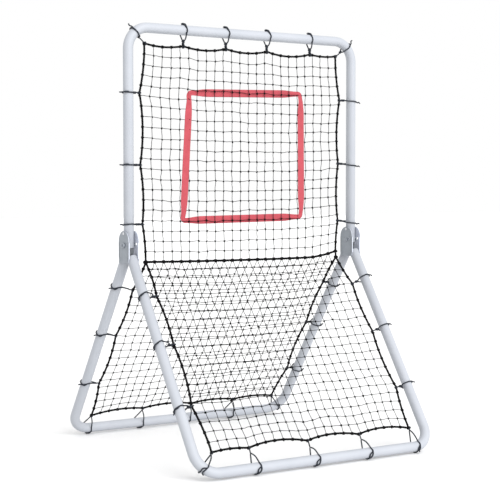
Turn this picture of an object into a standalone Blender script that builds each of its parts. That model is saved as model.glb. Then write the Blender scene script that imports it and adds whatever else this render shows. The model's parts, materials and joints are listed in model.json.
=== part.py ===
"""Pitch-back rebounder: three bent-tube frames hinged together, each with a laced net.

Metres, +Z up.  X is the width, -Y the front.  The origin is on the ground, under the
middle of the hinge line.  The upper frame stands on two hinge brackets.  The front and
the rear frame are its legs, spread by LEG_SPREAD to either side of the upright.
"""
import math

import bmesh
import bpy
from mathutils import Matrix, Vector

MM = 0.001

# ---- driving dimensions: tubes -------------------------------------------------------
TUBE_RADIUS = 16 * MM          # 32 mm round tube
TUBE_WALL = 1.2 * MM
TUBE_SIDES = 16
FRAME_HALF_WIDTH = 430 * MM    # axis of the uprights and legs, from the middle
BEND_RADIUS = 68 * MM          # centre line of every bend
BEND_STEPS = 6
UPPER_RISE = 677 * MM          # clamp bolt to the axis of the top bar
LEG_LENGTH = 726 * MM          # leg rivet to the axis of the bottom bar
LEG_SPREAD = math.radians(34.3)
FOOT_NEAR = 45 * MM            # the bars bow out by a hair between these two rings, so
FOOT_FAR = 150 * MM            # that a stretch which no tie crosses is a face of its own
FOOT_BOW = 0.15 * MM

# ---- driving dimensions: cords and nets ----------------------------------------------
TIE_RADIUS = 2.2 * MM
TIE_SIDES = 6
TIE_CLEAR = 1.2 * MM           # between a tie's cord and the tube it goes round
TIE_WRAP_STEPS = 6
TIE_RETURN_STEPS = 3
ROPE_RADIUS = 3.3 * MM         # border ropes
ROPE_SIDES = 6
SPAN_STEPS = 4                 # straight pieces of rope between two ties
HINGE_ROPE_RADIUS = 4.0 * MM
HINGE_ROPE_HALF_LENGTH = 368 * MM
HINGE_ROPE_SAG = 3 * MM
NET_THICKNESS = 1.5 * MM
NET_HALF_WIDTH = 350 * MM
NET_SHORT = 22 * MM            # border rope along the bar to the edge of the net
ROPE_END_HALF_WIDTH = 370 * MM  # of every border rope, next to the hinge line
SIDE_SAG = 0.20                # a rope's bow between two ties, over its span squared
CORNER_SLOPE = 0.12            # of a rope along the bar, next to the corner

# ---- driving dimensions: hinge brackets ----------------------------------------------
PLATE_WIDTH = 66 * MM
PLATE_HEIGHT = 100 * MM
PLATE_THICKNESS = 2 * MM
PLATE_GAP = 0.4 * MM           # tube to plate
LIP_WIDTH = 4.1 * MM
LIP_LOW = 13 * MM              # lower ends, just over the spread legs, which they stop
LIP_HIGH = 60 * MM
CLAMP_UP = 55 * MM             # clamp bolt above the plate's lower edge
TUBE_END_BELOW_CLAMP = 8 * MM
PIVOT_REACH = 36.8 * MM        # tilt pivot above the clamp bolt
TILT_LIMIT = math.radians(30)
SLOT_SPARE = math.radians(1.5)
LEG_RIVET_UP = 11.2 * MM       # leg rivet above the plate's lower edge
LEG_RIVET_OUT = 23.4 * MM      # leg rivet from the middle plane
LEG_END_PAST_RIVET = 7.5 * MM
SHANK_RADIUS = 3 * MM
HOLE_RADIUS = 3.4 * MM
HOLE_SIDES = 16
FASTENER_SIDES = 16
CLAMP_HEAD_RADIUS = 9 * MM
CLAMP_HEAD_HEIGHT = 5 * MM
SOCKET_RADIUS = 4 * MM
SOCKET_DEPTH = 3 * MM
CLAMP_NUT_RADIUS = 8 * MM
CLAMP_NUT_HEIGHT = 4 * MM
FIT_GAP = 0.3 * MM

# ---- nets: where they are tied -------------------------------------------------------
# Distances run along a frame, from its clamp bolts or its rivets to its bar.  A side tie is
# (net across, net along, tube along), a bar tie (net across, tube across), a corner tie
# (net across, net along, degrees round the bend from the side to the bar, how far the
# tie sits from the net's corner, towards the middle).
UPPER_NET = dict(
    start=-20 * MM, bar_along=627 * MM, bar_sag=0.38,
    left=((382, 65, 65), (389, 250, 250), (391, 474, 474)),
    right=((375, 67, 61), (376, 262, 259), (381, 478, 478)),
    corners=dict(left=(373, 628, 48, 0), right=(363, 626, 47, 0)),
    bar=((-234, -234), (-75, -78), (83, 82), (257, 252)))
FRONT_NET = dict(
    start=30 * MM, bar_along=661 * MM, bar_sag=0.15,
    left=((386, 134, 133), (381, 304, 303), (386, 510, 516)),
    right=((370, 123, 100), (376, 307, 292), (382, 517, 510)),
    corners=dict(left=(368, 661, 45, 0), right=(368, 661, 86, 15)),
    bar=((-241, -238), (-28, -26), (168, 174)))
REAR_NET = dict(
    start=30 * MM, bar_along=659 * MM, bar_sag=0.12,
    left=((368, 128, 104), (375, 317, 296), (380, 523, 508)),
    right=((384, 128, 134), (384, 309, 314), (385, 526, 529)),
    corners=dict(left=(368, 657, 88, 15), right=(364, 660, 50, 0)),
    bar=((-173, -165), (21, 26), (198, 208)))

RIBBON_WIDTH = 25 * MM
RIBBON_THICKNESS = 0.8 * MM
RIBBON_HALF_WIDTH = 232 * MM    # outer edges of the strike zone
RIBBON_LOW = 74 * MM            # above the clamp bolts
RIBBON_HIGH = 500 * MM

# ---- worked out from the above -------------------------------------------------------
TIE_WRAP = TUBE_RADIUS + TIE_CLEAR + TIE_RADIUS
TIE_RETURN = ROPE_RADIUS + TIE_CLEAR + TIE_RADIUS
CORNER_RETURN = 2.2 * ROPE_RADIUS + TIE_CLEAR + TIE_RADIUS   # clears both ropes there
PLATE_INNER = TUBE_RADIUS + PLATE_GAP
PLATE_OUTER = PLATE_INNER + PLATE_THICKNESS


def wrap_angles(reach, small):
    """Angles of a tie's corners round the tube, from the line away from the net."""
    lean = math.asin((TIE_WRAP - small) / reach)
    return [-math.pi / 2 - lean + (math.pi + 2 * lean) * k / TIE_WRAP_STEPS
            for k in range(TIE_WRAP_STEPS + 1)]


def bar_height():
    """Height of a bottom bar's axis when the bar rests on the ties round it."""
    reach = LEG_LENGTH - FRONT_NET["bar_along"]
    drops = [math.cos(a - LEG_SPREAD) for a in wrap_angles(reach, TIE_RETURN)]
    return (TIE_WRAP + TIE_RADIUS) * max(drops)


BAR_Z = bar_height()
RIVET_Z = BAR_Z + LEG_LENGTH * math.cos(LEG_SPREAD)
PLATE_Z = RIVET_Z - LEG_RIVET_UP            # lower edge of the plates
CLAMP_Z = PLATE_Z + CLAMP_UP
PIVOT_Z = CLAMP_Z + PIVOT_REACH


# ---- scene and materials -------------------------------------------------------------
def clear_scene():
    for obj in list(bpy.data.objects):
        bpy.data.objects.remove(obj, do_unlink=True)


def material(name, colour, roughness, metallic=0.0):
    mat = bpy.data.materials.new(name)
    mat.use_nodes = True
    shader = mat.node_tree.nodes["Principled BSDF"]
    shader.inputs["Base Color"].default_value = (*colour, 1.0)
    shader.inputs["Roughness"].default_value = roughness
    shader.inputs["Metallic"].default_value = metallic
    return mat


def add_object(name, bm, mat, smooth=True):
    bmesh.ops.recalc_face_normals(bm, faces=bm.faces[:])
    mesh = bpy.data.meshes.new(name)
    bm.to_mesh(mesh)
    bm.free()
    if smooth:
        mesh.shade_smooth()
        mesh.set_sharp_from_angle(angle=math.radians(40))
    obj = bpy.data.objects.new(name, mesh)
    bpy.context.scene.collection.objects.link(obj)
    if mat:
        obj.data.materials.append(mat)
    return obj


def as_cutter(obj):
    obj.hide_render = True
    obj.display_type = "WIRE"
    return obj


def boolean(obj, other, operation):
    mod = obj.modifiers.new(operation.lower(), "BOOLEAN")
    mod.operation = operation
    mod.solver = "EXACT"
    mod.object = other


def move_origin(obj, point):
    """Puts the object's origin on point without moving its shape."""
    obj.data.transform(Matrix.Translation(-point))
    obj.location = point


# ---- shape helpers -------------------------------------------------------------------
def ring(bm, centre, tangent, side, radius, sides, phase=0.5):
    """A ring of vertices round centre; side is a unit vector across the tangent."""
    up = tangent.cross(side)
    verts = []
    for k in range(sides):
        angle = 2 * math.pi * (k + phase) / sides
        verts.append(bm.verts.new(centre + radius * (math.cos(angle) * side
                                                     + math.sin(angle) * up)))
    return verts


def bridge(bm, first, second):
    count = len(first)
    for k in range(count):
        n = (k + 1) % count
        bm.faces.new((first[k], first[n], second[n], second[k]))


def sweep(bm, stations, side, radius, sides, closed=False):
    """A solid rod through stations, a list of (centre, tangent)."""
    rings = [ring(bm, c, t, side, radius, sides) for c, t in stations]
    for a, b in zip(rings, rings[1:]):
        bridge(bm, a, b)
    if closed:
        bridge(bm, rings[-1], rings[0])
    else:
        bm.faces.new(rings[0])
        bm.faces.new(rings[-1])


def sweep_tube(bm, stations, side, outer, inner, sides, phase):
    """A tube with open ends through stations."""
    out = [ring(bm, c, t, side, outer, sides, phase) for c, t in stations]
    ins = [ring(bm, c, t, side, inner, sides, phase) for c, t in stations]
    for a, b in zip(out, out[1:]):
        bridge(bm, a, b)
    for a, b in zip(ins, ins[1:]):
        bridge(bm, b, a)
    bridge(bm, ins[0], out[0])
    bridge(bm, out[-1], ins[-1])


def tangents(points, closed=False):
    """Pairs each point with the direction of the path there."""
    stations = []
    last = len(points) - 1
    for k, point in enumerate(points):
        before = points[k - 1] if closed or k > 0 else point
        after = points[(k + 1) % len(points)] if closed or k < last else point
        stations.append((point, (after - before).normalized()))
    return stations


def extruded(name, outline, depth_axis, depth, mat):
    """A flat outline, a list of points, extruded by depth along depth_axis."""
    bm = bmesh.new()
    face = bm.faces.new([bm.verts.new(p) for p in outline])
    grown = bmesh.ops.extrude_face_region(bm, geom=[face])
    moved = [v for v in grown["geom"] if isinstance(v, bmesh.types.BMVert)]
    bmesh.ops.translate(bm, verts=moved, vec=depth_axis * depth)
    return add_object(name, bm, mat, smooth=False)


def turned(name, profile, centre, sides, mat):
    """A solid of revolution about X.  profile: (x, radius) from one pole to the other."""
    bm = bmesh.new()
    first = bm.verts.new(centre + Vector((profile[0][0], 0, 0)))
    last = bm.verts.new(centre + Vector((profile[-1][0], 0, 0)))
    axis = Vector((1, 0, 0))
    rings = [ring(bm, centre + axis * x, axis, Vector((0, 1, 0)), r, sides)
             for x, r in profile[1:-1]]
    for a, b in zip(rings, rings[1:]):
        bridge(bm, a, b)
    for k in range(sides):
        n = (k + 1) % sides
        bm.faces.new((first, rings[0][n], rings[0][k]))
        bm.faces.new((last, rings[-1][k], rings[-1][n]))
    return add_object(name, bm, mat)


def drill(name, centre, radius, length):
    """A cutter along X through centre."""
    half = length / 2
    profile = [(-half, 0), (-half, radius), (half, radius), (half, 0)]
    return as_cutter(turned(name, profile, centre, HOLE_SIDES, None))


# ---- frames: where each one is -------------------------------------------------------
class Frame:
    """The plane of one U-shaped frame.  along runs from origin to its bar."""

    def __init__(self, name, pivot, origin, along, bar, net):
        self.name = name
        self.pivot = pivot
        self.origin = origin
        self.along = along
        self.bar = bar
        self.net = net
        self.facing = Vector((1, 0, 0)).cross(along)

    def at(self, across, distance):
        return self.origin + Vector((across, 0, 0)) + self.along * distance


def down_slope(sign):
    """Unit vector down a lower frame; sign is -1 for the front, 1 for the rear."""
    return Vector((0, sign * math.sin(LEG_SPREAD), -math.cos(LEG_SPREAD)))


TILT_PIVOT = Vector((0, 0, PIVOT_Z))
FRONT_RIVETS = Vector((0, -LEG_RIVET_OUT, RIVET_Z))
REAR_RIVETS = Vector((0, LEG_RIVET_OUT, RIVET_Z))
UPPER = Frame("upper", TILT_PIVOT, Vector((0, 0, CLAMP_Z)), Vector((0, 0, 1)),
              UPPER_RISE, UPPER_NET)
FRONT = Frame("front", FRONT_RIVETS, FRONT_RIVETS, down_slope(-1), LEG_LENGTH, FRONT_NET)
REAR = Frame("rear", REAR_RIVETS, REAR_RIVETS, down_slope(1), LEG_LENGTH, REAR_NET)
FRAMES = (UPPER, FRONT, REAR)
SIDES = (("left", -1), ("right", 1))


# ---- bent tubes ----------------------------------------------------------------------
def facet_down(frame):
    """The phase of a tube's rings at which one facet of the bar faces straight down."""
    up = Vector((1, 0, 0)).cross(frame.facing)
    down = math.atan2(-up.z, -frame.facing.z)
    return 0.5 + down * TUBE_SIDES / (2 * math.pi)


def frame_tube(frame, start, holes, mat):
    """The U-shaped tube of a frame, from start on, with cross holes."""
    corner = FRAME_HALF_WIDTH - BEND_RADIUS
    flat = [(-FRAME_HALF_WIDTH, start)]
    for step in range(BEND_STEPS + 1):
        angle = math.pi / 2 * step / BEND_STEPS
        flat.append((-corner - BEND_RADIUS * math.cos(angle),
                     frame.bar - BEND_RADIUS + BEND_RADIUS * math.sin(angle)))
    mirrored = [(-x, d) for x, d in reversed(flat)]
    flat += [(x, frame.bar + FOOT_BOW) for x in (FOOT_NEAR, FOOT_FAR)] + mirrored
    stations = []
    last = len(flat) - 1
    for k, (x, distance) in enumerate(flat):
        step = min(max(min(k, last - k) - 1, 0), BEND_STEPS)
        angle = math.pi / 2 * step / BEND_STEPS
        rise = math.cos(angle) * (1 if k <= last / 2 else -1)
        tangent = Vector((math.sin(angle), 0, 0)) + frame.along * rise
        stations.append((frame.at(x, distance), tangent))
    bm = bmesh.new()
    sweep_tube(bm, stations, frame.facing, TUBE_RADIUS, TUBE_RADIUS - TUBE_WALL,
               TUBE_SIDES, facet_down(frame))
    tube = add_object(f"{frame.name}_frame_tube", bm, mat)
    move_origin(tube, frame.pivot)
    for side, sign in SIDES:
        for number, distance in enumerate(holes):
            centre = frame.at(sign * FRAME_HALF_WIDTH, distance)
            boolean(tube, drill(f"cut_{frame.name}_{side}_{number}", centre,
                                HOLE_RADIUS, 4 * TUBE_RADIUS), "DIFFERENCE")
    return tube


# ---- hinge brackets ------------------------------------------------------------------
def plate_outline(x):
    """Square below, half round above, in the plane at x."""
    radius = PLATE_WIDTH / 2
    centre_z = PLATE_Z + PLATE_HEIGHT - radius
    points = [Vector((x, -radius, PLATE_Z)), Vector((x, radius, PLATE_Z))]
    steps = 14
    for k in range(steps + 1):
        angle = math.pi * k / steps
        points.append(Vector((x, radius * math.cos(angle),
                              centre_z + radius * math.sin(angle))))
    return points


def slot_outline(x):
    """The curved slot that the clamp bolt travels in, from upright to the front."""
    first = -TILT_LIMIT - SLOT_SPARE
    last = SLOT_SPARE
    steps = 8
    end_steps = 4
    pivot = Vector((x, 0, PIVOT_Z))

    def polar(radius, angle):
        return Vector((0, math.sin(angle), -math.cos(angle))) * radius

    points = []
    for k in range(steps + 1):
        angle = first + (last - first) * k / steps
        points.append(pivot + polar(PIVOT_REACH + HOLE_RADIUS, angle))
    for k in range(1, end_steps):
        turn = math.pi * k / end_steps
        points.append(pivot + polar(PIVOT_REACH, last) + polar(HOLE_RADIUS, last + turn))
    for k in range(steps + 1):
        angle = last + (first - last) * k / steps
        points.append(pivot + polar(PIVOT_REACH - HOLE_RADIUS, angle))
    for k in range(1, end_steps):
        turn = math.pi * (1 + k / end_steps)
        points.append(pivot + polar(PIVOT_REACH, first) + polar(HOLE_RADIUS, first + turn))
    return points


def hinge_plate(name, face_x, inward, mat):
    """A plate whose face against the tube is at face_x; its lips turn inward."""
    back = Vector((-inward, 0, 0))
    plate = extruded(name, plate_outline(face_x), back, PLATE_THICKNESS, mat)
    for place in (-1, 1):
        edge = place * PLATE_WIDTH / 2
        root = face_x - inward * PLATE_THICKNESS / 2
        far = face_x - inward * PLATE_THICKNESS + inward * LIP_WIDTH
        low = PLATE_Z + LIP_LOW
        high = PLATE_Z + LIP_HIGH
        lip = extruded(f"cut_{name}_lip_{'front' if place < 0 else 'rear'}",
                       [Vector((root, edge, low)), Vector((far, edge, low)),
                        Vector((far, edge, high)), Vector((root, edge, high))],
                       Vector((0, -place, 0)), PLATE_THICKNESS, None)
        boolean(plate, as_cutter(lip), "UNION")
    slot = extruded(f"cut_{name}_slot", slot_outline(face_x + 10 * MM),
                    Vector((-1, 0, 0)), 20 * MM, None)
    boolean(plate, as_cutter(slot), "DIFFERENCE")
    holes = [(0, PIVOT_Z), (-LEG_RIVET_OUT, RIVET_Z), (LEG_RIVET_OUT, RIVET_Z)]
    for number, (y, z) in enumerate(holes):
        boolean(plate, drill(f"cut_{name}_hole_{number}", Vector((face_x, y, z)),
                             HOLE_RADIUS, 20 * MM), "DIFFERENCE")
    return plate


def dome(out, sign, radius, height):
    """Profile of a low dome on a face at out, from its top to its edge."""
    return [(out + sign * height, 0),
            (out + sign * height * 0.85, radius * 0.55),
            (out + sign * height * 0.4, radius * 0.9),
            (out, radius)]


def rivet(name, centre, sign, head_radius, head_height, mat):
    """A shank through tube and plates, with the same dome head on both sides."""
    out = sign * (PLATE_OUTER + FIT_GAP)
    outer = dome(out, sign, head_radius, head_height) + [(out, SHANK_RADIUS)]
    inner = dome(-out, -sign, head_radius, head_height) + [(-out, SHANK_RADIUS)]
    pin = turned(name, outer + inner[::-1], centre, FASTENER_SIDES, mat)
    move_origin(pin, centre)


def clamp_bolt(name, centre, sign, mat):
    """A round head with a socket outside, and a shank that ends inside the nut."""
    out = sign * (PLATE_OUTER + FIT_GAP)
    profile = [(out + sign * (CLAMP_HEAD_HEIGHT - SOCKET_DEPTH), 0),
               (out + sign * (CLAMP_HEAD_HEIGHT - SOCKET_DEPTH), SOCKET_RADIUS),
               (out + sign * CLAMP_HEAD_HEIGHT, SOCKET_RADIUS),
               (out + sign * CLAMP_HEAD_HEIGHT, CLAMP_HEAD_RADIUS * 0.8),
               (out + sign * CLAMP_HEAD_HEIGHT * 0.7, CLAMP_HEAD_RADIUS),
               (out, CLAMP_HEAD_RADIUS),
               (out, SHANK_RADIUS),
               (-out - sign * CLAMP_NUT_HEIGHT / 2, SHANK_RADIUS),
               (-out - sign * CLAMP_NUT_HEIGHT / 2, 0)]
    bolt = turned(name, profile, centre, FASTENER_SIDES, mat)
    move_origin(bolt, centre)


def clamp_nut(name, centre, sign, mat):
    """A low dome nut on the inner plate."""
    face = -sign * (PLATE_OUTER + FIT_GAP)
    profile = dome(face, -sign, CLAMP_NUT_RADIUS, CLAMP_NUT_HEIGHT) + [(face, 0)]
    nut = turned(name, profile, centre, FASTENER_SIDES, mat)
    move_origin(nut, centre)
    depth = CLAMP_NUT_HEIGHT / 2 + FIT_GAP
    bore = drill(f"cut_{name}_bore", centre + Vector((face, 0, 0)), HOLE_RADIUS,
                 2 * depth)
    boolean(nut, bore, "DIFFERENCE")


def brackets(plate_mat, steel_mat):
    for side, sign in SIDES:
        x = sign * FRAME_HALF_WIDTH
        hinge_plate(f"hinge_plate_{side}_outer", x + sign * PLATE_INNER, -sign,
                    plate_mat)
        hinge_plate(f"hinge_plate_{side}_inner", x - sign * PLATE_INNER, sign,
                    plate_mat)
        rivet(f"tilt_pivot_{side}", Vector((x, 0, PIVOT_Z)), sign, 4.6 * MM, 2 * MM,
              steel_mat)
        for name, place in (("front", -1), ("rear", 1)):
            centre = Vector((x, place * LEG_RIVET_OUT, RIVET_Z))
            rivet(f"leg_rivet_{name}_{side}", centre, sign, 5.5 * MM, 1.4 * MM,
                  plate_mat)
        clamp = Vector((x, 0, CLAMP_Z))
        clamp_bolt(f"clamp_bolt_{side}", clamp, sign, plate_mat)
        clamp_nut(f"clamp_nut_{side}", clamp, sign, plate_mat)


# ---- nets, border ropes and ties -----------------------------------------------------
def edge_path(frame):
    """The border rope's axis as (across, along): up one side, along, down the other.

    The rope is out at each tie and bows in between two ties."""
    net = frame.net
    sides = {}
    for side, sign in SIDES:
        points = [(sign * ROPE_END_HALF_WIDTH, net["start"])]
        points += [(sign * across * MM, along * MM) for across, along, _ in net[side]]
        corner_across, corner_along = net["corners"][side][:2]
        sides[side] = points + [(sign * corner_across * MM, corner_along * MM)]
    bar = [(across * MM, net["bar_along"]) for across, _ in net["bar"]]
    knots = sides["left"] + bar + sides["right"][::-1]
    first_bar_span = len(sides["left"]) - 1
    points = []
    for number, ((x0, d0), (x1, d1)) in enumerate(zip(knots, knots[1:])):
        on_bar = first_bar_span <= number <= first_bar_span + len(bar)
        length = math.hypot(x1 - x0, d1 - d0)
        sag = (net["bar_sag"] if on_bar else SIDE_SAG) * length ** 2
        inward = ((d1 - d0) / length, -(x1 - x0) / length)
        for step in range(SPAN_STEPS):
            t = step / SPAN_STEPS
            bow = 4 * sag * t * (1 - t)
            points.append((x0 + (x1 - x0) * t + inward[0] * bow,
                           d0 + (d1 - d0) * t + inward[1] * bow))
    points.append(knots[-1])
    return points


def border_rope(frame, mat):
    points = [frame.at(x, d) for x, d in edge_path(frame)]
    bm = bmesh.new()
    sweep(bm, tangents(points), frame.facing, ROPE_RADIUS, ROPE_SIDES)
    rope = add_object(f"{frame.name}_border_rope", bm, mat)
    move_origin(rope, frame.pivot)


def net_panel(frame, mat):
    """A thin plain panel in the place of the net, inside its border rope."""
    low = frame.net["start"]
    high = frame.net["bar_along"] - NET_SHORT
    front = frame.facing * (NET_THICKNESS / 2)
    outline = [frame.at(x, d) + front
               for x, d in ((-NET_HALF_WIDTH, low), (-NET_HALF_WIDTH, high),
                            (NET_HALF_WIDTH, high), (NET_HALF_WIDTH, low))]
    panel = extruded(f"{frame.name}_net", outline, -frame.facing, NET_THICKNESS, mat)
    move_origin(panel, frame.pivot)


def tie(name, frame, on_net, on_tube, tube_run, small, mat):
    """A cord loop round the tube and the border rope, in a plane through both.

    tube_run is the tube's direction there, as (across, along), and small the radius of
    the loop round the rope.  A slanting loop is stretched to clear the round tube."""
    inner = frame.at(*on_net)
    outer = frame.at(*on_tube)
    out = (outer - inner).normalized()
    turn = frame.facing
    slant = out.dot(Vector((tube_run[0], 0, 0)) + frame.along * tube_run[1])
    stretched = out / math.sqrt(1 - slant ** 2)
    angles = wrap_angles((outer - inner).length, small)
    points = [outer + TIE_WRAP * (math.cos(a) * stretched + math.sin(a) * turn)
              for a in angles]
    for k in range(TIE_RETURN_STEPS + 1):
        a = angles[-1] + (2 * math.pi + angles[0] - angles[-1]) * k / TIE_RETURN_STEPS
        points.append(inner + small * (math.cos(a) * out + math.sin(a) * turn))
    bm = bmesh.new()
    sweep(bm, tangents(points, closed=True), out.cross(turn), TIE_RADIUS, TIE_SIDES,
          closed=True)
    loop = add_object(name, bm, mat)
    move_origin(loop, frame.pivot)


def ties(frame, mat):
    """Ties on both sides, at both corners and along the bar."""
    net = frame.net
    for side, sign in SIDES:
        for number, (across, along, tube_along) in enumerate(net[side], start=1):
            tie(f"{frame.name}_tie_{side}_{number}", frame,
                (sign * across * MM, along * MM),
                (sign * FRAME_HALF_WIDTH, tube_along * MM), (0, 1), TIE_RETURN, mat)
        across, along, degrees, shift = net["corners"][side]
        turn = math.radians(degrees)
        on_bend = (sign * (FRAME_HALF_WIDTH - BEND_RADIUS * (1 - math.cos(turn))),
                   frame.bar - BEND_RADIUS * (1 - math.sin(turn)))
        tie(f"{frame.name}_tie_{side}_corner", frame,
            (sign * (across - shift) * MM, (along - shift * CORNER_SLOPE) * MM), on_bend,
            (sign * math.sin(turn), -math.cos(turn)),
            TIE_RETURN if shift else CORNER_RETURN, mat)
    for number, (across, tube_across) in enumerate(net["bar"], start=1):
        tie(f"{frame.name}_tie_bar_{number}", frame, (across * MM, net["bar_along"]),
            (tube_across * MM, frame.bar), (1, 0), TIE_RETURN, mat)


def hinge_rope(mat):
    """The rope along the hinge line, where the three nets meet."""
    steps = 8
    points = []
    for k in range(steps + 1):
        across = -1 + 2 * k / steps
        points.append(Vector((across * HINGE_ROPE_HALF_LENGTH, 0,
                              PLATE_Z - HINGE_ROPE_SAG * (1 - across * across))))
    bm = bmesh.new()
    sweep(bm, tangents(points), Vector((0, 1, 0)), HINGE_ROPE_RADIUS, ROPE_SIDES)
    add_object("hinge_rope", bm, mat)


def strike_zone(mat):
    """One flat ribbon round the strike zone, against the front of the upper net."""
    back = NET_THICKNESS / 2 + FIT_GAP
    bm = bmesh.new()
    loops = []
    for inset in (0, RIBBON_WIDTH):
        for depth in (back, back + RIBBON_THICKNESS):
            half = RIBBON_HALF_WIDTH - inset
            low = RIBBON_LOW + inset
            high = RIBBON_HIGH - inset
            corners = [(-half, low), (half, low), (half, high), (-half, high)]
            loops.append([bm.verts.new(UPPER.at(x, d) + Vector((0, -depth, 0)))
                          for x, d in corners])
    outer_back, outer_front, inner_back, inner_front = loops
    bridge(bm, outer_back, outer_front)
    bridge(bm, outer_front, inner_front)
    bridge(bm, inner_front, inner_back)
    bridge(bm, inner_back, outer_back)
    ribbon = add_object("strike_zone_ribbon", bm, mat, smooth=False)
    move_origin(ribbon, UPPER.pivot)


def build():
    clear_scene()
    white = material("white_powder_coat", (0.80, 0.83, 0.90), 0.35)
    grey = material("grey_painted_steel", (0.17, 0.20, 0.26), 0.50, 0.2)
    zinc = material("zinc_plated_steel", (0.60, 0.62, 0.65), 0.30, 1.0)
    cord = material("black_cord", (0.012, 0.012, 0.015), 0.80)
    netting = material("black_netting", (0.020, 0.020, 0.024), 0.75)
    red = material("red_ribbon", (0.76, 0.12, 0.15), 0.65)

    frame_tube(UPPER, -TUBE_END_BELOW_CLAMP, (0, PIVOT_REACH), white)
    frame_tube(FRONT, -LEG_END_PAST_RIVET, (0,), white)
    frame_tube(REAR, -LEG_END_PAST_RIVET, (0,), white)
    brackets(grey, zinc)
    for frame in FRAMES:
        net_panel(frame, netting)
        border_rope(frame, cord)
        ties(frame, cord)
    hinge_rope(cord)
    strike_zone(red)


build()
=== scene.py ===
"""Looks of a pitch back rebounder: bent tubes, hinge plates, knotted nets, cord ties."""

import json
import math
import random

import bmesh
import bpy
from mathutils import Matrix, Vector, noise


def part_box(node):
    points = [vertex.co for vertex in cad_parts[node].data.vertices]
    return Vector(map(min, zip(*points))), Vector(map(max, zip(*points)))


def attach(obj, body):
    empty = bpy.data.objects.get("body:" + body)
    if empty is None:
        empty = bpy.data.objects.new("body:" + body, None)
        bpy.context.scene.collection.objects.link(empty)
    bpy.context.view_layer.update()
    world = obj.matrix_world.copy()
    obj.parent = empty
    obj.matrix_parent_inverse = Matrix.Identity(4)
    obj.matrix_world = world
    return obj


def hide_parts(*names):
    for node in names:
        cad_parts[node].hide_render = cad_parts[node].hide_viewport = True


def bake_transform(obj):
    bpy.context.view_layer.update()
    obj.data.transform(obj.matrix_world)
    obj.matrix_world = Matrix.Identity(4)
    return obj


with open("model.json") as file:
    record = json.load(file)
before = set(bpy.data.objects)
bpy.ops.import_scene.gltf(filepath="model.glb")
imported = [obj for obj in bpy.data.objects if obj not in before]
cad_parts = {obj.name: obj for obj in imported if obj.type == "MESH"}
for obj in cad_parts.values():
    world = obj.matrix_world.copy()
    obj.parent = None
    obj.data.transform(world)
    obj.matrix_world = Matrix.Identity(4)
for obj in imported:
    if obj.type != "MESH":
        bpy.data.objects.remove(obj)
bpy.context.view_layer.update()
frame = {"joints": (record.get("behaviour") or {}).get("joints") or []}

MM = 0.001
X = Vector((1, 0, 0))
Y = Vector((0, 1, 0))
Z = Vector((0, 0, 1))
TAU = 2 * math.pi
SIDES = (("left", -1), ("right", 1))
JOINTS = {j["name"]: j for j in frame["joints"]}

# ---- sizes ---------------------------------------------------------------------------
# tubes
TUBE_RADIUS = 16 * MM
TUBE_WALL = 1.2 * MM
CAD_TUBE_SIDES = 16
TUBE_SIDES = 48
FRAME_HALF_WIDTH = 430 * MM
BEND_RADIUS = 68 * MM
BEND_STEPS = 20
TUBE_END_EDGE = 0.25 * MM

# hinge plates; heights are above a plate's bottom edge
PLATE_WIDTH = 66 * MM
PLATE_HEIGHT = 100 * MM
PLATE_THICKNESS = 2 * MM
PLATE_INNER = 16.4 * MM
PLATE_OUTER = PLATE_INNER + PLATE_THICKNESS
PLATE_CORNER = 3 * MM
CORNER_STEPS = 4
PLATE_TOP_STEPS = 40
PLATE_EDGE = 0.35 * MM
LIP_WIDTH = 4.1 * MM
LIP_LOW = 13 * MM
LIP_HIGH = 66 * MM
LIP_BEND = 1.6 * MM
LIP_STEPS = 6
LIP_EDGE = 0.3 * MM
CLAMP_UP = 55 * MM
PIVOT_REACH = 36.8 * MM
# angles of the slot's ends about the pivot, from straight down, negative to the front
SLOT_FIRST = math.radians(-31.5)
SLOT_LAST = math.radians(1.5)
SLOT_STEPS = 16
HOLE_RADIUS = 3.4 * MM
HOLE_SIDES = 24
CUTTER_REACH = 10 * MM
LEG_END_PAST_RIVET = 7.5 * MM
TUBE_END_BELOW_CLAMP = 8 * MM
FIT_GAP = 0.3 * MM

# fasteners: (radius, height) of the domed heads
PIVOT_HEAD = (4.6 * MM, 2 * MM)
LEG_HEAD = (5.5 * MM, 1.4 * MM)
DOME_STEPS = 8
SHANK = 3 * MM
SOCKET_APOTHEM = 3.6 * MM
NUT_APOTHEM = 6.9 * MM
TURNED_SIDES = 32
TIP_RADIUS = 0.02 * MM
BEVEL_ANGLE = math.radians(40)
SPLIT_ANGLE = math.radians(50)

# nets: cells, and radii of the strings, ropes and cords
COLUMNS = 23
ROWS = 21
STRING = 0.95 * MM
STRING_SIDES = 5
STRING_WANDER = 0.9 * MM
ROW_LIFT = 0.9 * MM
KNOT = 3.0 * MM
KNOT_STRING = 1.15 * MM
KNOT_DEPTH = 0.45
# how far knots stray in the net's plane and out of it, in mm
KNOT_SCATTER = 1.1
KNOT_SCATTER_OUT = 0.7
# how far into a net the bows of its edges are felt
EDGE_REACH = 100 * MM
SIDE_SAG = 0.20
BOW_STEPS = 8
# how far along its frame a net and its ropes would still bend at the hinge line;
# bending() works this point out but nothing uses it
UPPER_BEND_END = 48 * MM
LEG_BEND_END = 90 * MM

ROPE = 3.7 * MM
ROPE_LAY = 17 * MM
ROPE_SPOTS = 12 * MM
ROPE_STEP = 3 * MM
HINGE_ROPE = 4.2 * MM
HINGE_ROPE_LAY = 22 * MM
HINGE_ROPE_STEP = 6 * MM
STRANDS = 3
STRAND_SHARE = 2.1  # strands in a rope's width
STRAND_SIDES = 6
LAY_STEPS = 8
COIL_STEPS = 10
HITCH_WIRE = 1.2 * MM
HITCH_GAP = 0.5 * MM

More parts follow.
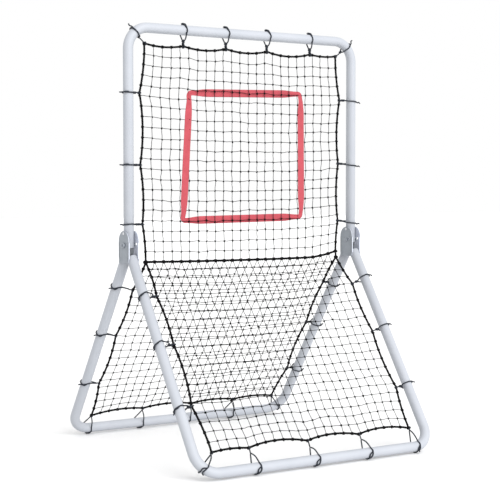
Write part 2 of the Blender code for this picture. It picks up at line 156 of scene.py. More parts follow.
CORD = 2.1 * MM
CORD_SIDES = 8
CORD_STEP = 2.5 * MM
CORD_END = 0.6  # radius of a cord's last ring, as a share
THIN_CORD = CORD * 0.95
WRAP = TUBE_RADIUS + CORD + 0.2 * MM
LOWEST_CORD = CORD + 0.4 * MM
BIG_KNOT = dict(stations=28, sides=7)

# What ties and ropes hold, in mm from the middle and along the frame from its origin:
# a side has (across, along, along on the tube) of its ties, corners has (across, along,
# angle of the tie on the bend in degrees), and bar has (across, across on the tube).
# A bow's depth is its sag times the square of its span, in metres. right_drop and row_sag
# lower the rows at the right and in the middle.
UPPER_NET = dict(
    bar_along=627 * MM, bar_sag=0.38, right_drop=7 * MM, row_sag=8.5 * MM,
    left=((382, 65, 65), (389, 250, 250), (391, 474, 474)),
    right=((375, 67, 61), (376, 262, 259), (381, 478, 478)),
    corners=dict(left=(373, 628, 48), right=(363, 626, 47)),
    bar=((-234, -234), (-75, -78), (83, 82), (257, 252)))
FRONT_NET = dict(
    bar_along=661 * MM, bar_sag=0.30, right_drop=0.0, row_sag=0.0,
    left=((386, 134, 133), (381, 304, 303), (386, 510, 516)),
    right=((370, 123, 100), (376, 307, 292), (382, 517, 510)),
    corners=dict(left=(368, 661, 45), right=(368, 661, 86)),
    bar=((-241, -238), (-28, -26), (168, 174)))
REAR_NET = dict(
    bar_along=659 * MM, bar_sag=0.30, right_drop=0.0, row_sag=0.0,
    left=((368, 128, 104), (375, 317, 296), (380, 523, 508)),
    right=((384, 128, 134), (384, 309, 314), (385, 526, 529)),
    corners=dict(left=(368, 669, 88), right=(364, 660, 50)),
    bar=((-173, -165), (21, 26), (198, 208)))


# ---- meshes --------------------------------------------------------------------------
def around(side, up, angle):
    """The unit vector at an angle from side towards up."""
    return math.cos(angle) * side + math.sin(angle) * up


def square_to(axis):
    """A unit vector at right angles to a unit axis."""
    helper = Z if abs(axis.z) < 0.8 else X
    return axis.cross(helper).normalized()


class Shape:
    """Vertices and faces of one piece."""

    def __init__(self):
        self.verts = []
        self.faces = []

    def rings(self, rings, closed=False):
        """A skin over the rings, joined end to end if closed and capped if not."""
        first = len(self.verts)
        count = len(rings[0])
        for ring in rings:
            self.verts += ring
        spans = len(rings) if closed else len(rings) - 1
        for k in range(spans):
            a = first + k * count
            b = first + (k + 1) % len(rings) * count
            for j in range(count):
                i = (j + 1) % count
                self.faces.append((a + j, a + i, b + i, b + j))
        if not closed:
            last = first + (len(rings) - 1) * count
            self.faces.append(tuple(range(first + count - 1, first - 1, -1)))
            self.faces.append(tuple(range(last, last + count)))

    def tube(self, points, radius, sides, closed=False):
        """A round cord along the points; its free ends are a little rounded."""
        frames = transport(points, closed)
        rings = []
        last = len(points) - 1
        for k, (p, side, up) in enumerate(frames):
            r = radius
            if not closed and k in (0, last) and last > 2:
                r = radius * CORD_END
            rings.append([p + r * around(side, up, TAU * j / sides)
                          for j in range(sides)])
        self.rings(rings, closed)

    def build(self, name, mat, smooth=True):
        mesh = bpy.data.meshes.new(name)
        mesh.from_pydata([tuple(v) for v in self.verts], [], self.faces)
        mesh.validate()
        obj = bpy.data.objects.new(name, mesh)
        bpy.context.scene.collection.objects.link(obj)
        mesh.materials.append(mat)
        if smooth:
            for p in mesh.polygons:
                p.use_smooth = True
        return obj


def transport(points, closed=False):
    """(point, side, up) at each point, turned as little as possible between them."""
    count = len(points)
    tangents = []
    for k in range(count):
        if closed:
            d = points[(k + 1) % count] - points[k - 1]
        else:
            d = points[min(k + 1, count - 1)] - points[max(k - 1, 0)]
        tangents.append(d.normalized())
    side = square_to(tangents[0])
    out = []
    for p, t in zip(points, tangents):
        side = (side - t * side.dot(t)).normalized()
        out.append((p, side, t.cross(side)))
    return out


def smooth_path(points, step):
    """A Catmull-Rom curve through the points, with a point about every step."""
    out = []
    for k, (p1, p2) in enumerate(zip(points, points[1:])):
        p0 = points[k - 1] if k else p1 * 2 - p2
        p3 = points[k + 2] if k + 2 < len(points) else p2 * 2 - p1
        pieces = max(1, round((p2 - p1).length / step))
        for j in range(pieces):
            t = j / pieces
            out.append(0.5 * (2 * p1 + (p2 - p0) * t
                              + (2 * p0 - 5 * p1 + 4 * p2 - p3) * t * t
                              + (3 * p1 - p0 - 3 * p2 + p3) * t ** 3))
    out.append(points[-1].copy())
    return out


def resample(points, step):
    """The same polyline with evenly spaced points."""
    lengths = [0.0]
    for a, b in zip(points, points[1:]):
        lengths.append(lengths[-1] + (b - a).length)
    count = max(1, round(lengths[-1] / step))
    out = []
    k = 0
    for j in range(count + 1):
        target = lengths[-1] * j / count
        while k < len(lengths) - 2 and lengths[k + 1] < target:
            k += 1
        t = (target - lengths[k]) / (lengths[k + 1] - lengths[k])
        out.append(points[k].lerp(points[k + 1], min(t, 1)))
    return out


def split(points, count):
    """count + 1 evenly spaced points of a polyline."""
    total = sum((b - a).length for a, b in zip(points, points[1:]))
    return resample(points, total / count)


def laid_rope(shape, points, radius, pitch):
    """A rope of twisted strands along the points."""
    path = resample(points, pitch / LAY_STEPS)
    strand = radius / STRAND_SHARE
    for number in range(STRANDS):
        line = []
        for k, (p, side, up) in enumerate(transport(path)):
            a = TAU * (k / LAY_STEPS + number / STRANDS)
            line.append(p + (radius - strand) * around(side, up, a))
        shape.tube(line, strand, STRAND_SIDES)


def coil(shape, centre, axis, radius, wire, turns, pitch, start=0.0, sides=STRING_SIDES):
    """Turns of a thin cord round a thicker one."""
    axis = axis.normalized()
    side = square_to(axis)
    up = axis.cross(side)
    points = []
    for k in range(round(turns * COIL_STEPS) + 1):
        points.append(centre + axis * pitch * (k / COIL_STEPS - turns / 2)
                      + radius * around(side, up, start + TAU * k / COIL_STEPS))
    shape.tube(points, wire, sides)


def overhand(shape, centre, axis, size, wire, turn, stations=14, sides=STRING_SIDES):
    """A tight overhand knot whose cord comes and goes along the axis."""
    axis = axis.normalized()
    side = square_to(axis)
    up = axis.cross(side)
    points = []
    for k in range(stations):
        t = TAU * k / stations
        a = (math.sin(t) + 2 * math.sin(2 * t)) / 3
        b = (math.cos(t) - 2 * math.cos(2 * t)) / 3
        c = -math.sin(3 * t) * KNOT_DEPTH
        u = a * math.cos(turn) - b * math.sin(turn)
        v = a * math.sin(turn) + b * math.cos(turn)
        points.append(centre + size * (u * side + c * up + v * axis))
    shape.tube(points, wire, sides, closed=True)


def lathe(centre, direction, profile):
    """Rings of a turned solid; the profile is (height along direction, radius), and a
    radius may be a function of the angle."""
    up = direction.cross(Y)
    rings = []
    for height, radius in profile:
        ring = []
        for k in range(TURNED_SIDES):
            a = TAU * k / TURNED_SIDES
            r = radius(a) if callable(radius) else radius
            ring.append(centre + direction * height
                        + max(r, TIP_RADIUS) * around(Y, up, a))
        rings.append(ring)
    return rings


# ---- materials -----------------------------------------------------------------------
RAMP_ENDS = (0.3, 0.7)


class Finish:
    """A Principled material with its node tree at hand."""

    def __init__(self, name, roughness, metallic=0.0, sheen=0.0):
        self.mat = bpy.data.materials.new(name)
        self.mat.use_nodes = True
        self.tree = self.mat.node_tree
        self.shader = self.tree.nodes["Principled BSDF"]
        self.shader.inputs["Roughness"].default_value = roughness
        self.shader.inputs["Metallic"].default_value = metallic
        self.shader.inputs["Sheen Weight"].default_value = sheen
        self.coords = self.tree.nodes.new("ShaderNodeTexCoord").outputs["Object"]

    def node(self, kind, **values):
        made = self.tree.nodes.new(kind)
        for key, value in values.items():
            made.inputs[key].default_value = value
        return made

    def link(self, a, b):
        self.tree.links.new(a, b)

    def noise(self, scale, detail=3.0):
        made = self.node("ShaderNodeTexNoise", Scale=scale, Detail=detail)
        self.link(self.coords, made.inputs["Vector"])
        return made.outputs["Fac"]

    def ramp(self, fac, first, last):
        """A colour between two, over the middle of the noise's range."""
        made = self.node("ShaderNodeValToRGB")
        for element, position, colour in zip(made.color_ramp.elements, RAMP_ENDS,
                                             (first, last)):
            element.position = position
            element.color = (*colour, 1)
        self.link(fac, made.inputs["Fac"])
        return made.outputs["Color"]

    def colour(self, fac, first, last):
        self.link(self.ramp(fac, first, last), self.shader.inputs["Base Color"])

    def rough(self, fac, low, high):
        made = self.node("ShaderNodeMapRange", **{"To Min": low, "To Max": high})
        self.link(fac, made.inputs["Value"])
        self.link(made.outputs["Result"], self.shader.inputs["Roughness"])

    def maths(self, operation, first, second=0.0):
        """One sum of a socket with another socket or a number."""
        made = self.node("ShaderNodeMath")
        made.operation = operation
        self.link(first, made.inputs[0])
        if isinstance(second, float):
            made.inputs[1].default_value = second
        else:
            self.link(second, made.inputs[1])
        return made.outputs["Value"]

    def between(self, value, start, end):
        """0 at start and 1 at end."""
        made = self.node("ShaderNodeMapRange", **{"From Min": start, "From Max": end})
        self.link(value, made.inputs["Value"])
        return made.outputs["Result"]

    def mixed(self, share, first, second):
        """The base colour is a mix of two colour sockets."""
        made = self.node("ShaderNodeMix")
        made.data_type = "RGBA"
        colours = [s for s in made.inputs if s.type == "RGBA"]
        self.link(share, made.inputs[0])
        self.link(first, colours[0])
        self.link(second, colours[1])
        result = [s for s in made.outputs if s.type == "RGBA"][0]
        self.link(result, self.shader.inputs["Base Color"])

    def bump(self, height, distance, strength=1.0):
        made = self.node("ShaderNodeBump", Strength=strength, Distance=distance)
        self.link(height, made.inputs["Height"])
        old = self.shader.inputs["Normal"].links
        if old:
            self.link(old[0].from_socket, made.inputs["Normal"])
        self.link(made.outputs["Normal"], self.shader.inputs["Normal"])


def powder_coat():
    made = Finish("white_powder_coat", 0.45)
    made.shader.inputs["Specular IOR Level"].default_value = 0.3
    made.colour(made.noise(9), (0.385, 0.405, 0.443), (0.415, 0.433, 0.47))
    made.rough(made.noise(60), 0.38, 0.52)
    made.bump(made.noise(700, 2), 0.00008)
    return made.mat


def plate_paint():
    """Grey outside; the inner faces and lips are a lighter grey of painted light at the
    front, and the rear half keeps the outside grey as painted shade under the tube.
    """
    made = Finish("grey_plate_paint", 0.5, metallic=0.15)
    grain = made.noise(45, 5)
    outside = made.ramp(grain, (0.25, 0.275, 0.305), (0.285, 0.31, 0.345))
    # painted light: this lighter grey brightens the shaded inner faces and the sunlit
    # front lips
    inside = made.ramp(grain, (0.57, 0.60, 0.68), (0.61, 0.64, 0.72))
    place = made.node("ShaderNodeSeparateXYZ")
    made.link(made.coords, place.inputs["Vector"])
    depth = made.maths("ABSOLUTE", place.outputs["X"])
    depth = made.maths("ABSOLUTE", made.maths("SUBTRACT", depth, FRAME_HALF_WIDTH))
    # mask of the inner faces and lips, front half only; the rear half stays darker as
    # painted shade
    share = made.between(depth, PLATE_OUTER - 0.4 * MM, PLATE_OUTER - 1 * MM)
    front = made.between(place.outputs["Y"], 4 * MM, -4 * MM)
    made.mixed(made.maths("MULTIPLY", share, front), outside, inside)
    made.rough(made.noise(140), 0.38, 0.6)
    made.bump(made.noise(900, 3), 0.0001)
    return made.mat


def zinc():
    made = Finish("zinc_plate", 0.3, metallic=0.9)
    made.colour(made.noise(160, 4), (0.55, 0.56, 0.58), (0.75, 0.76, 0.78))
    made.rough(made.noise(400), 0.22, 0.4)
    made.bump(made.noise(1500, 2), 0.00004)
    return made.mat


def fibre(name, dark, light, scale, roughness, depth):
    made = Finish(name, roughness)
    made.shader.inputs["Specular IOR Level"].default_value = 0.15
    made.colour(made.noise(scale, 4), dark, light)
    made.bump(made.noise(scale * 2, 3), depth)
    return made.mat


def woven_ribbon():
    made = Finish("red_woven_ribbon", 0.6, sheen=0.2)
    made.colour(made.noise(35, 4), (0.36, 0.030, 0.046), (0.43, 0.042, 0.062))
    for direction in ("X", "Z"):
        wave = made.node("ShaderNodeTexWave", Scale=420.0, Distortion=0.6)
        wave.bands_direction = direction
        made.link(made.coords, wave.inputs["Vector"])
        made.bump(wave.outputs["Fac"], 0.00012, 0.6)
    return made.mat


POWDER = powder_coat()
PLATE = plate_paint()
ZINC = zinc()
NETTING = fibre("black_twine", (0.001, 0.001, 0.001), (0.004, 0.004, 0.005), 800, 0.9,
                0.0002)
ROPE_FIBRE = fibre("black_rope", (0.001, 0.001, 0.001), (0.003, 0.003, 0.004), 900, 0.9,
                   0.0002)
TIE_FIBRE = fibre("dark_tie_cord", (0.012, 0.014, 0.019), (0.036, 0.041, 0.052), 600, 0.7,
                  0.0004)
RIBBON = woven_ribbon()


# ---- frames --------------------------------------------------------------------------
class Frame:
    """The plane of one U-shaped frame; bar is how far along it the bar lies, and seen is
    the side that faces the camera."""

    def __init__(self, name, body, origin, along, bar, net, seen):
        self.name = name
        self.body = body
        self.origin = origin
        self.along = along
        self.bar = bar
        self.net = net
        self.facing = X.cross(along)
        self.seen = self.facing * seen

    def at(self, across, distance, out=0.0):
        return self.origin + X * across + self.along * distance + self.facing * out

    def local(self, point):
        """The opposite of at."""
        d = point - self.origin
        return Vector((point.x, d.dot(self.along), d.dot(self.facing)))


LEG_SPREAD = math.radians(JOINTS["front_fold"]["range_deg"][1])
PIVOT = Vector(JOINTS["upper_tilt"]["pos_m"])
FRONT_RIVET = Vector(JOINTS["front_fold"]["pos_m"])
REAR_RIVET = Vector(JOINTS["rear_fold"]["pos_m"])
PLATE_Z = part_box("hinge_plate_left_outer")[0].z
CLAMP = Vector((0, 0, PLATE_Z + CLAMP_UP))
CAD_INSET = TUBE_RADIUS * math.cos(math.pi / CAD_TUBE_SIDES)
BAR_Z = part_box("front_frame_tube")[0].z + CAD_INSET
LEG_LENGTH = (FRONT_RIVET.z - BAR_Z) / math.cos(LEG_SPREAD)
UPPER_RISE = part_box("upper_frame_tube")[1].z - CAD_INSET - CLAMP.z


def down_slope(sign):
    return Vector((0, sign * math.sin(LEG_SPREAD), -math.cos(LEG_SPREAD)))


LOW_RIGHT = Vector((368 * MM, 0, PLATE_Z - 3 * MM))  # where the lower ropes meet
UPPER = Frame("upper", "upper_frame", CLAMP, Z, UPPER_RISE, UPPER_NET, 1)
FRONT = Frame("front", "front_frame", FRONT_RIVET, down_slope(-1), LEG_LENGTH,
              FRONT_NET, -1)
REAR = Frame("rear", "rear_frame", REAR_RIVET, down_slope(1), LEG_LENGTH, REAR_NET, -1)
FRAMES = (UPPER, FRONT, REAR)


def finished(obj, body, slot, *nodes):
    """A piece that moves with one body."""
    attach(obj, body)
    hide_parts(*nodes)


def bending(obj, part, slot, *nodes):
    """A soft piece baked in place in world space, with the CAD pieces that it replaces
    hidden.
    """
    end = part.at(0, UPPER_BEND_END if part is UPPER else LEG_BEND_END)
    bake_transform(obj)
    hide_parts(*nodes)


# ---- tubes ---------------------------------------------------------------------------
def frame_tube(part, start):
    """The bent tube, open at its two ends, where its wall shows."""
    corner = FRAME_HALF_WIDTH - BEND_RADIUS
    half = [(-FRAME_HALF_WIDTH, start, 0.0)]
    for step in range(BEND_STEPS + 1):
        a = math.pi / 2 * step / BEND_STEPS
        half.append((-corner - BEND_RADIUS * math.cos(a),
                     part.bar - BEND_RADIUS + BEND_RADIUS * math.sin(a), a))
    stations = [(x, d, math.sin(a), math.cos(a)) for x, d, a in half]
    stations += [(-x, d, math.sin(a), -math.cos(a)) for x, d, a in reversed(half)]

    def ring(x, d, right, rise, radius, push=0.0):
        """A circle round the tube's middle, moved by push along it."""
        tangent = X * right + part.along * rise
        side = part.facing
        up = tangent.cross(side)
        centre = part.at(x, d) + tangent * push
        return [centre + radius * around(side, up, TAU * k / TUBE_SIDES)
                for k in range(TUBE_SIDES)]

    edge = TUBE_END_EDGE
    inside = TUBE_RADIUS - TUBE_WALL
    first = stations[0]
    last = stations[-1]
    rings = [ring(*first, inside, edge), ring(*first, inside + edge),
             ring(*first, TUBE_RADIUS - edge), ring(*first, TUBE_RADIUS, edge)]
    rings += [ring(*s, TUBE_RADIUS) for s in stations[1:-1]]
    rings += [ring(*last, TUBE_RADIUS, -edge), ring(*last, TUBE_RADIUS - edge),
              ring(*last, inside + edge), ring(*last, inside, -edge)]
    rings += [ring(*s, inside) for s in stations[-2:0:-1]]
    shape = Shape()
    shape.rings(rings, closed=True)
    obj = shape.build(f"{part.name}_bent_tube", POWDER)
    finished(obj, part.body, "white_powder_coat", f"{part.name}_frame_tube")


# ---- hinge plates and fasteners ------------------------------------------------------
def applied(obj):
    """Turns the object's modifiers into its mesh."""
    graph = bpy.context.evaluated_depsgraph_get()
    mesh = bpy.data.meshes.new_from_object(obj.evaluated_get(graph))
    obj.modifiers.clear()
    obj.data = mesh


def solid(rings, name, mat, smooth=False):
    """One object over the rings, with all of its faces turned outwards."""
    shape = Shape()
    shape.rings(rings)
    obj = shape.build(name, mat, smooth)
    bm = bmesh.new()
    bm.from_mesh(obj.data)
    bmesh.ops.recalc_face_normals(bm, faces=bm.faces)
    bm.to_mesh(obj.data)
    bm.free()
    return obj


def prism(points, depth, name):
    """A flat outline given a thickness along depth."""
    return solid([points, [p + depth for p in points]], name, PLATE)


def cut(obj, cutters):
    """Takes the cutters out of the object."""
    for cutter in cutters:
        modifier = obj.modifiers.new("cut", "BOOLEAN")
        modifier.operation = "DIFFERENCE"
        modifier.solver = "EXACT"
        modifier.object = cutter
    applied(obj)
    for cutter in cutters:
        bpy.data.objects.remove(cutter)


def bevel(obj, width):
    modifier = obj.modifiers.new("edges", "BEVEL")
    modifier.width = width
    modifier.segments = 2
    modifier.limit_method = "ANGLE"
    modifier.angle_limit = BEVEL_ANGLE
    applied(obj)
    for p in obj.data.polygons:
        p.use_smooth = True
    modifier = obj.modifiers.new("flat", "WEIGHTED_NORMAL")
    modifier.keep_sharp = True
    applied(obj)


def slot_outline(x):
    """The curved slot round the pivot that the clamp bolt travels in."""
    pivot = Vector((x, 0, PIVOT.z))

    def polar(radius, angle):
        return Vector((0, math.sin(angle), -math.cos(angle))) * radius

    def round_end(centre, start):
        """The half circle at one end of the slot."""
        return [centre + polar(HOLE_RADIUS, start + math.pi * k / 8) for k in range(1, 8)]

    sweep = [SLOT_FIRST + (SLOT_LAST - SLOT_FIRST) * k / SLOT_STEPS
             for k in range(SLOT_STEPS + 1)]
    points = [pivot + polar(PIVOT_REACH + HOLE_RADIUS, angle) for angle in sweep]
    points += round_end(pivot + polar(PIVOT_REACH, SLOT_LAST), SLOT_LAST)
    points += [pivot + polar(PIVOT_REACH - HOLE_RADIUS, angle)
               for angle in reversed(sweep)]
    points += round_end(pivot + polar(PIVOT_REACH, SLOT_FIRST), SLOT_FIRST + math.pi)
    return points


def round_outline(x, centre):
    """A round hole for the pin at the centre."""
    middle = Vector((x, centre.y, centre.z))
    return [middle + HOLE_RADIUS * around(Y, Z, TAU * k / HOLE_SIDES)
            for k in range(HOLE_SIDES)]


def hinge_plate(name, node, face_x, inward):
    """A plate with a round top, its slot and holes, and a lip at the front and rear;
    face_x is its face towards the tube."""
    radius = PLATE_WIDTH / 2
    corner = PLATE_CORNER
    top = PLATE_Z + PLATE_HEIGHT - radius
    outline = []
    for place, first in ((-1, math.pi), (1, 1.5 * math.pi)):
        for k in range(CORNER_STEPS + 1):
            a = first + math.pi / 2 * k / CORNER_STEPS
            outline.append(Vector((face_x,
                                   place * (radius - corner) + corner * math.cos(a),
                                   PLATE_Z + corner + corner * math.sin(a))))
    for k in range(PLATE_TOP_STEPS + 1):
        a = math.pi * k / PLATE_TOP_STEPS
        outline.append(Vector((face_x, radius * math.cos(a), top + radius * math.sin(a))))
    plate = prism(outline, X * (-inward * PLATE_THICKNESS), name)
    start = face_x - CUTTER_REACH
    openings = [slot_outline(start), round_outline(start, PIVOT),
                round_outline(start, FRONT_RIVET), round_outline(start, REAR_RIVET)]
    cut(plate, [prism(points, X * 2 * CUTTER_REACH, "opening") for points in openings])
    bevel(plate, PLATE_EDGE)
    for place in (-1, 1):
        join(plate, turned_lip(f"{name}_lip", face_x, inward, place))
    finished(plate, "hinge_brackets", "grey_painted_steel", node)


def turned_lip(name, face_x, inward, place):
    """The plate's edge bent over towards the tube, with rounded corners."""
    outer = face_x - inward * PLATE_THICKNESS
    far = outer + inward * LIP_WIDTH
    edge = place * PLATE_WIDTH / 2
    section = []
    for k in range(LIP_STEPS + 1):
        a = math.pi / 2 * k / LIP_STEPS
        section.append((outer + inward * LIP_BEND * (1 - math.cos(a)),
                        edge - place * LIP_BEND * (1 - math.sin(a))))
    section += [(far - inward * LIP_EDGE, edge), (far, edge - place * LIP_EDGE),
                (far, edge - place * (PLATE_THICKNESS - LIP_EDGE)),
                (far - inward * LIP_EDGE, edge - place * PLATE_THICKNESS),
                (outer + inward * 1.2 * MM, edge - place * 3 * MM),
                (outer, edge - place * 4 * MM)]
    low = PLATE_Z + LIP_LOW
    high = PLATE_Z + LIP_HIGH
    rings = []
    for z, shrink in ((low, 0.8), (low + 0.4 * MM, 1.0),
                      (high - 3 * MM, 1.0), (high, 0.55)):
        rings.append([Vector((outer + (x - outer) * shrink, y, z)) for x, y in section])
    return solid(rings, name, PLATE)


def join(first, second):
    """Adds the second object's mesh to the first one."""
    bm = bmesh.new()
    bm.from_mesh(first.data)
    bm.from_mesh(second.data)
    bm.to_mesh(first.data)
    bm.free()
    bpy.data.objects.remove(second)


# A fastener's profile is (height from the tube's axis, radius); its heads stand on FOOT.
FOOT = PLATE_OUTER + FIT_GAP


def dome(radius, height):
    """Profile of a domed rivet head, with a low upright rim."""
    rim = 0.12
    profile = [(FOOT, radius * 0.97), (FOOT + height * rim, radius)]
    for k in range(1, DOME_STEPS + 1):
        a = math.pi / 2 * k / DOME_STEPS
        profile.append((FOOT + height * (rim + (1 - rim) * math.sin(a)),
                        radius * math.cos(a)))
    return profile


def hexagon(apothem):
    """The radius of a hexagon at any angle."""
    return lambda a: apothem / math.cos((a + math.pi / 6) % (math.pi / 3) - math.pi / 6)


def fastener(name, node, body, slot, mat, centre, sign, outer, inner):
    """A head outside and one inside, with the shank between them as one solid."""
    profile = [(-h, r) for h, r in reversed(inner)]
    profile += [(-FOOT, SHANK), (FOOT, SHANK)]
    profile += outer
    obj = solid(lathe(centre, X * sign, profile), name, mat, smooth=True)
    modifier = obj.modifiers.new("sharp", "EDGE_SPLIT")
    modifier.split_angle = SPLIT_ANGLE
    finished(obj, body, slot, node)


def above_foot(*steps):
    """A profile from heights above the foot and radii, both in mm but for a hexagon."""
    return [(FOOT + h * MM, r if callable(r) else r * MM) for h, r in steps]


def hinge_sides():
    """Four plates, and on each side a pivot, two leg pins, a clamp screw and its nut."""
    screw_head = above_foot((0, 8.6), (0.5, 9), (3.4, 9), (4.5, 8.2), (5, 6.8), (5, 4.4),
                            (4.8, hexagon(SOCKET_APOTHEM)), (2, hexagon(SOCKET_APOTHEM)),
                            (1.6, 0))
    screw_end = above_foot((1.8, 2.9), (2, 2.4))
    cap_nut = above_foot((0, 3.4), (0, 7.6), (0.5, 8), (1, hexagon(NUT_APOTHEM)),
                         (2.6, hexagon(NUT_APOTHEM)), (2.8, 5.6), (3.5, 4.2), (3.9, 2.2),
                         (4, 0))
    grey = "grey_painted_steel"
    for side, sign in SIDES:
        x = sign * FRAME_HALF_WIDTH
        hinge_plate(f"bracket_{side}_outer", f"hinge_plate_{side}_outer",
                    x + sign * PLATE_INNER, -sign)
        hinge_plate(f"bracket_{side}_inner", f"hinge_plate_{side}_inner",
                    x - sign * PLATE_INNER, sign)
        fastener(f"pivot_rivet_{side}", f"tilt_pivot_{side}", "hinge_brackets",
                 "zinc_plated_steel", ZINC, Vector((x, 0, PIVOT.z)), sign,
                 dome(*PIVOT_HEAD), dome(*PIVOT_HEAD))
        for name, rivet in (("front", FRONT_RIVET), ("rear", REAR_RIVET)):
            fastener(f"{name}_leg_pin_{side}", f"leg_rivet_{name}_{side}",
                     "hinge_brackets", grey, PLATE, Vector((x, rivet.y, rivet.z)), sign,
                     dome(*LEG_HEAD), dome(*LEG_HEAD))
        clamp = Vector((x, 0, CLAMP.z))
        fastener(f"clamp_screw_{side}", f"clamp_bolt_{side}", "upper_frame", grey, PLATE,
                 clamp, sign, screw_head, screw_end)
        shape = Shape()
        shape.rings(lathe(clamp, X * -sign, cap_nut))
        nut = shape.build(f"clamp_cap_nut_{side}", PLATE, smooth=False)
        finished(nut, "upper_frame", grey, f"clamp_nut_{side}")


# ---- ropes and nets ------------------------------------------------------------------
def hinge_line():
    """The hinge rope's path; its right end is pulled up to where the upper rope joins.
    The spots are in mm from the middle of the plates' bottom edges."""
    spots = ((-371, 0, 1), (-250, 0, -1), (-90, 1, -2.5), (90, -1, -3), (250, 0, -2),
             (295, 0, 2), (330, 0, 8), (353, 0, 13.5), (366, 0, 17))
    return smooth_path([Vector((x * MM, y * MM, PLATE_Z + z * MM)) for x, y, z in spots],
                       HINGE_ROPE_STEP)


def bowed(knots, sag, turn):
    """A polyline out at each knot and bowed in between; turn is the inner side."""
    points = []
    for a, b in zip(knots, knots[1:]):
        span = b - a
        length = span.length
        inward = Vector((span.y, -span.x, 0)).normalized() * turn
        for k in range(BOW_STEPS):
            t = k / BOW_STEPS
            points.append(a.lerp(b, t) + inward * (4 * sag * length ** 2 * t * (1 - t)))
    points.append(knots[-1].copy())
    return points


def borders(part):
    """Left side, bar side and right side of a net, in the frame's own coordinates."""
    net = part.net
    line = hinge_line()
    ends = {"left": part.local(line[0]), "right": part.local(line[-1])}
    if part is not UPPER:
        ends["right"] = part.local(LOW_RIGHT)
    edge = {}
    corner = {}
    for side, sign in SIDES:
        knots = [ends[side]]
        knots += [Vector((sign * a * MM, d * MM, 0)) for a, d, _ in net[side]]
        a, d, _ = net["corners"][side]
        corner[side] = Vector((sign * a * MM, d * MM, 0))
        knots.append(corner[side])
        edge[side] = bowed(knots, SIDE_SAG, -sign)
    bar = [corner["left"]]
    bar += [Vector((a * MM, net["bar_along"], 0)) for a, _ in net["bar"]]
    bar.append(corner["right"])
    return edge["left"], bowed(bar, net["bar_sag"], 1), edge["right"]


def knot_grid(part):
    """The net's knots in space, as [column][row]; row 0 is on the hinge rope. Each knot
    is on a flat net between the corners, moved as the nearest edges are moved from it."""
    left, bar, right = borders(part)
    left = split(left, ROWS)
    right = split(right, ROWS)
    for j in range(ROWS - 1, 0, -1):
        drop = part.net["right_drop"] * j / ROWS
        right[j] = right[j].lerp(right[j - 1], drop / (right[j] - right[j - 1]).length)
    bar = split(bar, COLUMNS)
    line = [part.local(p) for p in split(hinge_line(), COLUMNS)]
    line[0] = left[0]
    line[-1] = right[0]
    chance = random.Random(part.name)
    width = (bar[-1] - bar[0]).length
    height = (left[-1] - left[0]).length
    grid = []
    for i in range(COLUMNS + 1):
        u = i / COLUMNS
        column = []
        for j in range(ROWS + 1):
            v = j / ROWS
            flat = line[0].lerp(line[-1], u).lerp(bar[0].lerp(bar[-1], u), v)
            straight_left = left[0].lerp(left[-1], v)
            straight_right = right[0].lerp(right[-1], v)
            near_left = math.exp(-u * width / EDGE_REACH)
            near_right = math.exp(-(1 - u) * width / EDGE_REACH)
            near_bar = math.exp(-(1 - v) * height / EDGE_REACH)
            near_hinge = math.exp(-v * height / EDGE_REACH)
            p = flat + (left[j] - straight_left) * near_left
            p += (right[j] - straight_right) * near_right
            p += (bar[i] - bar[0].lerp(bar[-1], u)) * near_bar
            p += (line[i] - line[0].lerp(line[-1], u)) * near_hinge
            if 0 < i < COLUMNS and 0 < j < ROWS:
                p.y -= part.net["right_drop"] * u * v * (1 - near_right)
                p.y -= (part.net["row_sag"] * 4 * u * (1 - u)
                        * (1 - near_bar) * (1 - near_hinge))
                p += Vector((chance.gauss(0, KNOT_SCATTER), chance.gauss(0, KNOT_SCATTER),
                             chance.gauss(0, KNOT_SCATTER_OUT))) * MM
            column.append(p)
        grid.append(column)
    for j in range(ROWS + 1):
        grid[0][j] = left[j]
        grid[-1][j] = right[j]
    for i in range(COLUMNS + 1):
        grid[i][-1] = bar[i]
        grid[i][0] = line[i]
    return [[part.at(*p) for p in column] for column in grid]


def wandering(points, chance, amount):
    """A string through its knots, wavy between them, with two bends in each mesh."""
    line = []
    for a, b in zip(points, points[1:]):
        line.append(a)
        bend = Vector([chance.uniform(-amount, amount) for _ in range(3)])
        line.append(a.lerp(b, 0.33) + bend)
        line.append(a.lerp(b, 0.67) - bend * chance.uniform(-0.4, 1))
    line.append(points[-1])
    return line


def net(part, grid):
    """Strings both ways with an overhand knot at each crossing."""
    chance = random.Random(part.name + "strings")
    shape = Shape()
    for i in range(1, COLUMNS):
        shape.tube(wandering(grid[i], chance, STRING_WANDER), STRING, STRING_SIDES)
    lift = part.seen * ROW_LIFT
    for j in range(1, ROWS):
        row = [column[j] + lift for column in grid]
        shape.tube(wandering(row, chance, STRING_WANDER), STRING, STRING_SIDES)
    for i in range(1, COLUMNS):
        for j in range(1, ROWS):
            turn = chance.uniform(-0.6, 0.6)
            overhand(shape, grid[i][j] + lift * 0.5, part.along + X * turn,
                     KNOT * chance.uniform(0.9, 1.15), KNOT_STRING, turn)
    obj = shape.build(f"{part.name}_string_net", NETTING)
    bending(obj, part, "black_netting", f"{part.name}_net")


